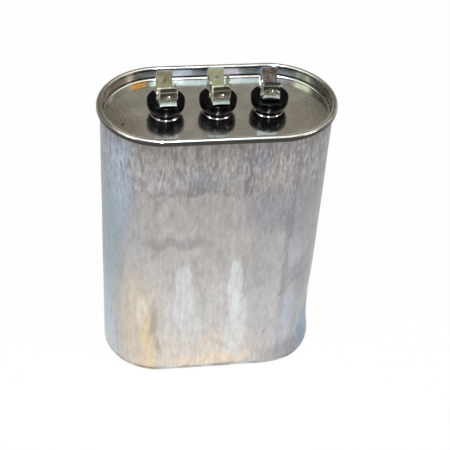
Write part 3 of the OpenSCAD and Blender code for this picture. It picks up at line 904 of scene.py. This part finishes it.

# %% [markdown]
# ### Painted shade, wear and painted reflection on the cover
#
# Three bands run round the whole cover. The corner of the recess is painted dark, as painted shade.
# The seaming chuck has rubbed a grey film into the inner shoulder of the rim. Round the outside of
# the seam the tin is painted dark, as a painted reflection, and made rougher. Bands could be separate
# materials on picked faces, but those end in hard lines. Here height and distance from the plan's
# centre line place them, so that they fade over a few tenths of a millimetre.

# %% Painted shade in the corner
# Heights above the panel, in millimetres: the band comes in, and goes out again.
COMES_IN, GOES_OUT = (0.1, 0.45), (0.9, 1.3)
panel_mm, rim_mm, seam_mm = panel_z / MM, rim_z / MM, seam_r / MM
low = node("ShaderNodeMapRange", {"interpolation_type": "SMOOTHSTEP"}, Value=axes["Z"],
           From_Min=panel_mm + COMES_IN[0], From_Max=panel_mm + COMES_IN[1])
high = node("ShaderNodeMapRange", {"interpolation_type": "SMOOTHSTEP"}, Value=axes["Z"],
            From_Min=panel_mm + GOES_OUT[1], From_Max=panel_mm + GOES_OUT[0], To_Max=0.85)
painted_corner_shade = node("ShaderNodeMath", {"operation": "MULTIPLY"}, _0=low, _1=high)
# The corner of the recess is painted dark: painted shade.
colour = node("ShaderNodeMix", {"data_type": "RGBA"}, Factor=painted_corner_shade, A=colour, B=linear("#2b2824"))
print("grime up to", GOES_OUT[1], "mm above the panel")

# %% Painted dark reflection outside the seam
# Distance from the plan's centre line tells the outside of the seam from the rest.
beyond = node("ShaderNodeMath", {"operation": "ABSOLUTE"}, _0=axes["X"])
beyond = node("ShaderNodeMath", {"operation": "SUBTRACT"}, _0=beyond, _1=half_straight / MM)
beyond = node("ShaderNodeMath", {"operation": "MAXIMUM"}, _0=beyond, _1=0.0)
flat = node("ShaderNodeCombineXYZ", X=beyond, Y=axes["Y"])
out = node("ShaderNodeVectorMath", {"operation": "LENGTH"}, Vector=flat).outputs["Value"]
# The outside of the seam is painted dark, a painted reflection, and the same mask makes it rougher.
painted_dark_seam = node("ShaderNodeMapRange", {"interpolation_type": "SMOOTHSTEP"}, Value=out,
              From_Min=seam_mm - 0.28, From_Max=seam_mm - 0.04, To_Max=0.96)
colour = node("ShaderNodeMix", {"data_type": "RGBA"}, Factor=painted_dark_seam, A=colour, B=linear("#39342f"))
print("dark steel from", round(seam_mm - 0.28, 2), "mm outwards")

# %% Film inside the rim
below = node("ShaderNodeMapRange", {"interpolation_type": "SMOOTHSTEP"}, Value=axes["Z"],
             From_Min=rim_mm - 0.1, From_Max=rim_mm - 0.35)
above = node("ShaderNodeMapRange", {"interpolation_type": "SMOOTHSTEP"}, Value=axes["Z"],
             From_Min=rim_mm - 1.4, From_Max=rim_mm - 0.9)
inner = node("ShaderNodeMapRange", Value=out,
             From_Min=seam_mm - 0.9, From_Max=seam_mm - 1.3, To_Max=0.75)
film = node("ShaderNodeMath", {"operation": "MULTIPLY"}, _0=below, _1=above)
film = node("ShaderNodeMath", {"operation": "MULTIPLY"}, _0=film, _1=inner)
colour = node("ShaderNodeMix", {"data_type": "RGBA"}, Factor=film, A=colour, B=linear("#4a4a4a"))
print("film between", round(rim_mm - 1.4, 1), "and", round(rim_mm - 0.1, 1), "mm")

# %% Shader of the tin
# Bright tin is typically 0.1 to 0.2 rough. The sheet wavers over about 16 mm.
WAVER_SIZE = 16
dull = node("ShaderNodeMapRange", Value=patches, From_Min=0.4, From_Max=0.7,
            To_Min=0.13, To_Max=0.21)
rough = node("ShaderNodeMath", {"operation": "MULTIPLY_ADD"}, _0=painted_dark_seam, _1=0.16, _2=dull)
sheet = node("ShaderNodeTexNoise", Vector=place, Scale=1 / WAVER_SIZE, Detail=1.0)
waver = node("ShaderNodeBump", Height=sheet, Strength=0.3, Distance=0.35 * MM)
bump = node("ShaderNodeBump", Height=specks, Strength=0.12, Distance=0.03 * MM, Normal=waver)
metal = node("ShaderNodeBsdfPrincipled", Base_Color=colour, Metallic=1.0, Roughness=rough,
             Normal=bump)
node("ShaderNodeOutputMaterial", Surface=metal)
stand_for(cover, tin, "cover_tinplate", "cover")
print("nodes in", tin.name + ":", len(tin.node_tree.nodes))

# %% [markdown]
# ## Bushings
#
# Each terminal stands on a black bowl of moulded phenolic resin. The CAD mesh could be kept, but
# its facets show in a polished surface, so the same section is turned again with finer steps. The
# outside of the bowl is an arc that starts at the foot and ends upright at the full diameter, which
# fixes its radius.

# %% Build the bushings
BUSHING_R, BUSHING_H, BOWL_H, FOOT_H = 7.3 * MM, 6.5 * MM, 4.6 * MM, 0.7 * MM
BUSHING_EDGE, BORE_R, GASKET_H = 0.4 * MM, 1.7 * MM, 1.0 * MM
flare, rise = BUSHING_R - BUSHING_FOOT_R, BOWL_H - FOOT_H
bowl_r = (flare ** 2 + rise ** 2) / (2 * flare)
bowl_start = -math.degrees(math.asin(rise / bowl_r))
bushing_section = [(BORE_R, -SHEET - GASKET_H), (NECK_R, -SHEET - GASKET_H), (NECK_R, 0)]
bushing_section += [(BUSHING_FOOT_R, 0)]
bushing_section += arc(BUSHING_R - bowl_r, BOWL_H, bowl_r, bowl_start, 0, 19)
bushing_section += arc(BUSHING_R - BUSHING_EDGE, BUSHING_H - BUSHING_EDGE, BUSHING_EDGE, 0, 90, 7)
bushing_section += [(BUSHING_R - BUSHING_EDGE - 0.2 * MM, BUSHING_H), (BORE_R, BUSHING_H)]

SIDES = ("left", "middle", "right")
bushings = {}
for side, x in zip(SIDES, places):
    bm = bmesh.new()
    lathe(bm, x, panel_z, bushing_section)
    bushings[side] = finish_mesh(bm, f"phenolic_bushing_{side}")

# %% [markdown]
# ## Black phenolic
#
# Phenolic comes from its polished mould glossy and deep black. It is an ordinary plastic to light:
# not metallic, with an IOR of about 1.6. Its gloss is broken only by a very fine ripple and a trace
# of dust. The bowls look almost black apart from a narrow streak, so the specular level is set far
# below the usual 0.5. A clear coat over a dull base would also give such a streak, but it adds a
# second shine that a plain moulding doesn't have.

# %% Material of the bushings
# The ripple is drawn 2.5 mm long, as flow marks are. Real dust is finer than these 0.35 mm grains.
RIPPLE_SIZE, DUST_SIZE = 2.5, 0.35
resin, node = new_material("black_phenolic")
place = node("ShaderNodeVectorMath", {"operation": "SCALE"},
             Vector=node("ShaderNodeTexCoord").outputs["Object"], Scale=1 / MM)
ripple = node("ShaderNodeTexNoise", Vector=place, Scale=1 / RIPPLE_SIZE, Detail=3.0)
dust = node("ShaderNodeTexNoise", Vector=place, Scale=1 / DUST_SIZE, Detail=2.0)
share = node("ShaderNodeMapRange", Value=dust, From_Min=0.66, From_Max=0.85, To_Max=0.03)
colour = node("ShaderNodeMix", {"data_type": "RGBA"}, Factor=share,
              A=linear("#020203"), B=linear("#5a5854"))
rough = node("ShaderNodeMapRange", Value=ripple, From_Min=0.3, From_Max=0.7,
             To_Min=0.06, To_Max=0.14)
bump = node("ShaderNodeBump", Height=ripple, Strength=0.1, Distance=0.02 * MM)
plastic = node("ShaderNodeBsdfPrincipled", Base_Color=colour, Roughness=rough, IOR=1.6,
               Specular_IOR_Level=0.06, Normal=bump)
node("ShaderNodeOutputMaterial", Surface=plastic)
for side, bushing in bushings.items():
    stand_for(bushing, resin, "bushing_phenolic", f"bushing_{side}")
print("bushings dressed:", len(bushings))

# %% [markdown]
# ## Quick connect tabs
#
# The tabs are stamped from brass strip and tinned. Stamping rounds one side of every edge and
# tumbling rounds the other, so no edge is sharp. They could be modelled again from the strip, but
# the CAD shape is right, so each cluster is a copy of it. The flat triangles are dissolved back to
# whole faces, and a fine bevel softens the edges. Each edge then catches a thin line of light.

# %% Soften the clusters
WELD, EDGE_BEVEL = 0.001 * MM, 0.07 * MM
FLAT_ANGLE, SHARP_ANGLE = math.radians(1), math.radians(50)


def softened_copy(source, name):
    """A copy of a CAD node's mesh with its edges bevelled."""
    bm = bmesh.new()
    bm.from_mesh(nodes[source].data)
    bmesh.ops.remove_doubles(bm, verts=bm.verts, dist=WELD)
    bmesh.ops.dissolve_limit(bm, angle_limit=FLAT_ANGLE, verts=bm.verts, edges=bm.edges)
    sharp = [e for e in bm.edges if len(e.link_faces) == 2 and e.calc_face_angle(0) > SHARP_ANGLE]
    bmesh.ops.bevel(bm, geom=sharp, offset=EDGE_BEVEL, segments=1, profile=0.5, affect="EDGES",
                    clamp_overlap=True)
    return finish_mesh(bm, name, smooth_angle=20)


clusters = {side: softened_copy(f"terminal_{side}", f"tab_cluster_{side}") for side in SIDES}

# %% [markdown]
# ## Tinned brass
#
# Tin over brass is bright, and warmer than tin over steel. The strip was rolled, which leaves fine
# lines along it. One even metal would do for new tabs, but these have been soldered and handled.
# The front ones are painted darker towards their tips and along their top edge, as painted shade, and
# are still bright at the foot. So height and place decide where each film and each painted shade lies
# on the same metal.

# %% Rolled tin over brass
# Rolling lines are a few hundredths of a millimetre wide, too fine to show, so three to a
# millimetre are drawn, each about 4 mm long. Wear comes in patches of about 2 mm.
LINES_PER_MM, LINE_LENGTH, WEAR_SIZE = 3, 4, 2.2
brass, node = new_material("tinned_brass")
coordinates = node("ShaderNodeTexCoord")
place = node("ShaderNodeVectorMath", {"operation": "SCALE"},
             Vector=coordinates.outputs["Object"], Scale=1 / MM)
axes = node("ShaderNodeSeparateXYZ", Vector=place).outputs
worn = node("ShaderNodeTexNoise", Vector=place, Scale=1 / WEAR_SIZE, Detail=4.0, Roughness=0.6)
along = node("ShaderNodeVectorMath", {"operation": "MULTIPLY"},
             _0=place, _1=(LINES_PER_MM, LINES_PER_MM, 1 / LINE_LENGTH))
lines = node("ShaderNodeTexNoise", Vector=along, Scale=1.0, Detail=3.0)
share = node("ShaderNodeMapRange", Value=lines, From_Min=0.45, From_Max=0.75, To_Max=0.45)
colour = node("ShaderNodeMix", {"data_type": "RGBA"}, Factor=share,
              A=linear("#dedccf"), B=linear("#a59c80"))
print("rolling lines:", LINES_PER_MM, "to a millimetre")

# %% Painted shade on the front tabs
# Two bands of painted shade by height: darker up the blade, and a darker line at its very tip.
ahead = node("ShaderNodeMapRange", Value=axes["Y"], From_Min=-3.0, From_Max=-3.6)
tip = node("ShaderNodeMapRange", {"interpolation_type": "SMOOTHSTEP"}, Value=axes["Z"],
           From_Min=130.0, From_Max=135.5, To_Max=0.85)
edge = node("ShaderNodeMapRange", Value=axes["Z"], From_Min=135.9, From_Max=136.2, To_Max=0.95)
for band, tint in ((tip, "#6f6a5b"), (edge, "#39342b")):
    share = node("ShaderNodeMath", {"operation": "MULTIPLY"}, _0=ahead, _1=band)
    colour = node("ShaderNodeMix", {"data_type": "RGBA"}, Factor=share, A=colour, B=linear(tint))
print("the front tabs darken from 130 mm up")

# %% [markdown]
# ### Dried flux and painted light on the rear tabs
#
# Flux has dried on the rear tabs, tan on their fronts. Their backs are painted pale blue, a painted
# reflection for the recess wall to mirror. The right one was once hot, and its film has burnt brown.
# It is no metal: it scatters light as a paint does, so where it lies the shader turns from metallic
# to mostly matt. Each dimple has a dark spot of painted shade.

# %% Colour of the flux and the painted dimple shade
tan = node("ShaderNodeMapRange", Value=axes["X"], From_Min=-12.0, From_Max=-8.0)
tan = node("ShaderNodeMix", {"data_type": "RGBA"}, Factor=tan,
           A=linear("#807750"), B=linear("#96966f"))
burnt = node("ShaderNodeMapRange", Value=axes["X"], From_Min=8.0, From_Max=12.0)
tan = node("ShaderNodeMix", {"data_type": "RGBA"}, Factor=burnt, A=tan, B=linear("#4c3d32"))

# The dark spot in each dimple is painted shade. Wrapping X at half the pitch puts the same spot on
# each cluster.
DIMPLE_HEIGHT, HALF_PITCH = 133.3, PITCH / MM / 2
offset = node("ShaderNodeMath", {"operation": "WRAP"}, _0=axes["X"], _1=HALF_PITCH, _2=-HALF_PITCH)
rise = node("ShaderNodeMath", {"operation": "SUBTRACT"}, _0=axes["Z"], _1=DIMPLE_HEIGHT)
offset = node("ShaderNodeCombineXYZ", X=offset, Y=rise)
offset = node("ShaderNodeVectorMath", {"operation": "LENGTH"}, Vector=offset).outputs["Value"]
dot = node("ShaderNodeMapRange", {"interpolation_type": "SMOOTHSTEP"}, Value=offset,
           From_Min=1.15, From_Max=0.45, To_Max=0.75)
tan = node("ShaderNodeMix", {"data_type": "RGBA"}, Factor=dot, A=tan, B=linear("#40331f"))
print("a dark dot every", 2 * HALF_PITCH, "mm")

# %% Lay the flux and finish the brass
behind = node("ShaderNodeMapRange", Value=axes["Y"], From_Min=4.0, From_Max=5.5)
# Faces that look backwards are painted pale blue, a painted reflection; faces that look forwards take
# the tan of the flux.
facing = node("ShaderNodeSeparateXYZ", Vector=coordinates.outputs["Normal"]).outputs["Y"]
facing = node("ShaderNodeMapRange", Value=facing, From_Min=0.2, From_Max=-0.2)
flux_and_painted_blue = node("ShaderNodeMix", {"data_type": "RGBA"}, Factor=facing, A=linear("#a6cbe4"), B=tan)
film = node("ShaderNodeMapRange", Value=worn, From_Min=0.3, From_Max=0.6, To_Min=0.6, To_Max=1)
film = node("ShaderNodeMath", {"operation": "MULTIPLY"}, _0=behind, _1=film)
colour = node("ShaderNodeMix", {"data_type": "RGBA"}, Factor=film, A=colour, B=flux_and_painted_blue)
bare = node("ShaderNodeMapRange", Value=film, To_Min=1, To_Max=0.25)
rough = node("ShaderNodeMapRange", Value=film, To_Min=0.14, To_Max=0.5)
bump = node("ShaderNodeBump", Height=lines, Strength=0.2, Distance=0.006 * MM)
metal = node("ShaderNodeBsdfPrincipled", Base_Color=colour, Metallic=bare, Roughness=rough,
             Normal=bump)
node("ShaderNodeOutputMaterial", Surface=metal)
for side, tabs in clusters.items():
    stand_for(tabs, brass, "tab_tinned_brass", f"terminal_{side}")
print("clusters dressed:", len(clusters))

# %% [markdown]
# ## Rivets
#
# A steel rivet holds each cluster to its bushing. Its upper head is domed and has a small set mark
# in the middle, where the tool pressed it. The CAD rivets are plain, and a bevel would not give
# them the mark, so they are turned from a section with both. It fills the same height.

# %% Build the rivets
RIVET_STEPS = 48
SHANK_R, HEAD_R, HEAD_H = 1.6 * MM, 2.6 * MM, 0.9 * MM
TIP_R, CHAMFER, DOME_R = 0.15 * MM, 0.3 * MM, 0.6 * MM
MARK_R, MARK_FLOOR_R, MARK_DEPTH = 1.1 * MM, 0.8 * MM, 0.3 * MM
rivet_low, rivet_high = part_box("terminal_rivets")
head_z, foot_z = rivet_high.z - rivet_low.z - HEAD_H, HEAD_H
mark_z = head_z + HEAD_H - MARK_DEPTH
rivet_section = [(TIP_R, 0), (HEAD_R - CHAMFER, 0), (HEAD_R, CHAMFER), (HEAD_R, foot_z)]
rivet_section += [(SHANK_R, foot_z), (SHANK_R, head_z), (HEAD_R, head_z)]
rivet_section += arc(HEAD_R - DOME_R, head_z + HEAD_H - DOME_R, DOME_R, 0, 90, 7)
rivet_section += [(MARK_R, head_z + HEAD_H), (MARK_FLOOR_R, mark_z), (TIP_R, mark_z - 0.1 * MM)]
bm = bmesh.new()
for x in places:
    lathe(bm, x, rivet_low.z, rivet_section, steps=RIVET_STEPS)
rivets = finish_mesh(bm, "set_rivets")

# %% [markdown]
# ## Plated steel
#
# Zinc plated steel is a cool grey metal, a little duller than tin. The plating has a fine cloudy
# bloom. A flat grey would make the heads look like plastic, so noise of about a millimetre breaks
# their tone and their gloss.

# %% Material of the rivets
BLOOM_SIZE = 0.8
steel, node = new_material("plated_steel")
place = node("ShaderNodeVectorMath", {"operation": "SCALE"},
             Vector=node("ShaderNodeTexCoord").outputs["Object"], Scale=1 / MM)
bloom = node("ShaderNodeTexNoise", Vector=place, Scale=1 / BLOOM_SIZE, Detail=3.0)
colour = node("ShaderNodeMix", {"data_type": "RGBA"}, Factor=bloom,
              A=linear("#a9a9a6"), B=linear("#c8c7c2"))
rough = node("ShaderNodeMapRange", Value=bloom, To_Min=0.25, To_Max=0.4)
bump = node("ShaderNodeBump", Height=bloom, Strength=0.2, Distance=0.03 * MM)
metal = node("ShaderNodeBsdfPrincipled", Base_Color=colour, Metallic=1.0, Roughness=rough,
             Normal=bump)
node("ShaderNodeOutputMaterial", Surface=metal)
stand_for(rivets, steel, "rivet_steel", "terminal_rivets")
print("nodes in", steel.name + ":", len(steel.node_tree.nodes))

# %% [markdown]
# ## What is inside
#
# Nothing inside the sealed can shows, but each piece still gets its own material, for whoever opens
# the model. Their CAD shapes are right and stay as they are. Each could have a recipe of its own,
# but unseen pieces don't repay it. They differ in colour, gloss and grain, so one recipe with a
# table is enough: two tones of a colour, mixed by noise of a real grain size.

# %% Table of the materials inside
INSIDE = [
    # slot, material name, two colours, grain (x, y, z) in mm, roughness, metallic, bump in mm
    ("gasket_rubber", "epdm_rubber", "#191a1b", "#2b2c2d", (0.5, 0.5, 0.5), 0.7, 0, 0.04),
    ("paper_phenolic", "brown_paper_laminate", "#5d3d22", "#7d5632", (6, 0.8, 0.8), 0.45, 0, 0.03),
    ("tinned_copper", "tinned_copper_strip", "#bdb9ac", "#d3d0c6", (1.5, 1.5, 6), 0.25, 1, 0.01),
    ("polypropylene", "natural_polypropylene", "#d9d6ca", "#e7e5dc", (3, 3, 3), 0.4, 0, 0.02),
    ("metallised_film", "aluminised_film_edges", "#a9aeb6", "#c9ccd1", (20, 20, 0.3), 0.22, 1, 0.02),
    ("sprayed_zinc", "zinc_spray", "#7c7f83", "#a2a4a6", (0.35, 0.35, 0.35), 0.75, 1, 0.12),
]
print("materials inside:", len(INSIDE))


# %% One recipe for them
def inner_material(name, dark, light, grain, roughness, metallic, relief):
    """A material from its row in the table, less the slot."""
    material, node = new_material(name)
    place = node("ShaderNodeVectorMath", {"operation": "SCALE"},
                 Vector=node("ShaderNodeTexCoord").outputs["Object"], Scale=1 / MM)
    scaled = node("ShaderNodeVectorMath", {"operation": "DIVIDE"}, _0=place, _1=grain)
    pattern = node("ShaderNodeTexNoise", Vector=scaled, Scale=1.0, Detail=3.0)
    tone = node("ShaderNodeMapRange", Value=pattern, From_Min=0.35, From_Max=0.65)
    colour = node("ShaderNodeMix", {"data_type": "RGBA"}, Factor=tone,
                  A=linear(dark), B=linear(light))
    rough = node("ShaderNodeMapRange", Value=pattern, To_Min=roughness - 0.06,
                 To_Max=roughness + 0.06)
    bump = node("ShaderNodeBump", Height=pattern, Strength=0.6, Distance=relief * MM)
    body = node("ShaderNodeBsdfPrincipled", Base_Color=colour, Metallic=float(metallic),
                Roughness=rough, Normal=bump)
    node("ShaderNodeOutputMaterial", Surface=body)
    return material


finishes = {slot: inner_material(*recipe) for slot, *recipe in INSIDE}
print("made", ", ".join(material.name for material in finishes.values()))

# %% Dress the inner pieces
dressed = 0
for obj in nodes.values():
    # A CAD node comes in with a plain material that has the name of its slot.
    slot = obj.data.materials[0].name
    if slot in finishes:
        obj.data.materials.clear()
        obj.data.materials.append(finishes[slot])
        dressed += 1
print("inner pieces dressed:", dressed)

# %% [markdown]
# ## Finish
#
# The dressed part has to stay inside the CAD part's box.

# %% Finish
print("all pieces are dressed")
